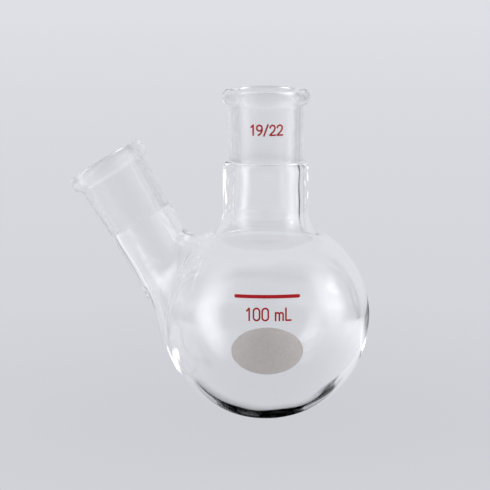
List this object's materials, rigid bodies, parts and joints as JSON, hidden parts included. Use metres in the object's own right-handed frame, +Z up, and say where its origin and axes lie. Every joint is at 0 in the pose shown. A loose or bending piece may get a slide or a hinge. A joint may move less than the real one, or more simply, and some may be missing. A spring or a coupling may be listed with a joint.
{
  "type": "two-neck round bottom flask",
  "caption": "Small clear glass round bottom flask with an upright centre neck and a leaning side neck, both ending in beaded ground sockets.",
  "frame": {"origin": "the bulb's lowest point on the centre neck's axis, where it sits in its ring, mantle or clamp stand", "axes": "+Z up along the centre neck; the side neck leans towards -X in the XZ plane; the marks face -Y, turned 8 degrees towards +X"},
  "size_m": [0.0925, 0.0641, 0.102],
  "materials": {
    "clear_glass": "fire polished, clear",
    "ground_glass": "clear outside, finely ground in the tapered bore",
    "red_enamel": "fired enamel print, low sheen",
    "white_enamel": "fired enamel, matt, takes pencil"
  },
  "bodies": {
    "root": {"bulb": "clear_glass", "centre_neck": "clear_glass", "centre_socket": "ground_glass", "side_neck": "clear_glass", "side_socket": "ground_glass", "joint_size_mark": "red_enamel", "capacity_mark": "red_enamel", "plain_rule": "red_enamel", "writing_patch": "white_enamel"}
  },
  "joints": []
}
